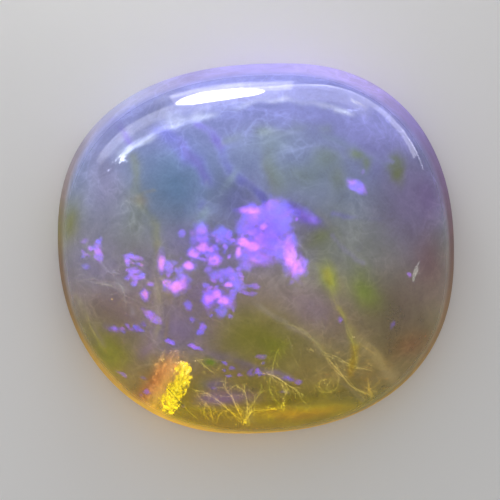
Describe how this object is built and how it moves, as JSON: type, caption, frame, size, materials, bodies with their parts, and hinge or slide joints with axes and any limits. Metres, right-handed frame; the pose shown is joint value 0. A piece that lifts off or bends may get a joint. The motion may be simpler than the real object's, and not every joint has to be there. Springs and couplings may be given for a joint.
{
  "type": "fire opal cabochon",
  "caption": "Polished cushion-shaped opal cabochon with a domed top, a low leaning wall and a flat back.",
  "frame": {"origin": "middle of the flat back's bounding box", "axes": "+X along the stone's long way, +Y towards the side that is up when it is shown on its edge, +Z out of the dome"},
  "size_m": [0.016, 0.015, 0.0056],
  "materials": {
    "opal": "polished, hazy and half see-through: lavender to slate above, olive and amber below, with violet flashes"
  },
  "bodies": {
    "root": {"opal": "opal"}
  },
  "joints": []
}
